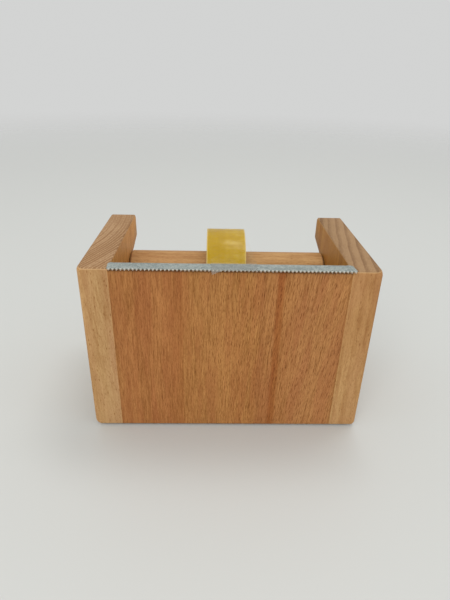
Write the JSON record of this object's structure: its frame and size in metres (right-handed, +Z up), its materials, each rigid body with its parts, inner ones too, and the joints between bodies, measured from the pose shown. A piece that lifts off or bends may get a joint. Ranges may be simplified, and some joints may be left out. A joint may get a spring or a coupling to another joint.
{
  "type": "tape dispenser",
  "caption": "Wooden desk tape dispenser: slotted cheeks hold a lift-out roller with a roll of clear tape, and a toothed steel strip caps the front panel.",
  "frame": {"origin": "middle of the underside, on the surface that the dispenser stands on", "axes": "+X to the right seen from the front, +Y to the back where the slots open, +Z up"},
  "size_m": [0.125, 0.0807, 0.0832],
  "materials": {
    "beech_left": "oiled beech, upright grain",
    "beech_right": "oiled beech, upright grain",
    "beech_panel": "steamed beech, upright grain with fine flecks",
    "beech_base": "oiled beech",
    "beech_dowel": "plain beech",
    "black_rubber": "matt",
    "galvanised_steel": "galvanised, fine spangle",
    "screw_steel": "zinc plated",
    "beech_axle": "turned beech",
    "beech_roller": "turned beech, oiled",
    "core_plastic": "moulded",
    "wound_tape": "wound film, glossy",
    "clear_tape": "single layer of clear film"
  },
  "bodies": {
    "dispenser_body": {"left_cheek": "beech_left", "right_cheek": "beech_right", "front_panel": "beech_panel", "base_block": "beech_base", "left_base_dowels": "beech_dowel", "right_base_dowels": "beech_dowel", "anti_slip_sheet": "black_rubber", "cutter_strip": "galvanised_steel", "strip_screws": "screw_steel"},
    "axle": {"axle": "beech_axle"},
    "roller": {"roller": "beech_roller"},
    "tape_tail": {"tape_tail": "clear_tape"},
    "tape_roll": {"tape_core": "core_plastic", "tape_winding": "wound_tape"}
  },
  "joints": [
    {"name": "axle_draw_out", "type": "slide", "parent": "dispenser_body", "child": "axle", "axis": [0, 0.9681, 0.2504], "range_m": [0, 0.032]},
    {"name": "roller_spin", "type": "hinge", "parent": "axle", "child": "roller", "pos_m": [0, 0.0145, 0.05935], "axis": [1, 0, 0], "continuous": true},
    {"name": "roll_shift", "type": "slide", "parent": "axle", "child": "tape_tail", "axis": [1, 0, 0], "range_m": [-0.0384, 0.0395]},
    {"name": "roll_spin", "type": "hinge", "parent": "tape_tail", "child": "tape_roll", "pos_m": [-0.001, 0.0145, 0.05685], "axis": [1, 0, 0], "continuous": true}
  ],
  "couplings": [
    {"joint": "roller_spin", "follows": "roll_spin", "ratio": 1.27}
  ]
}
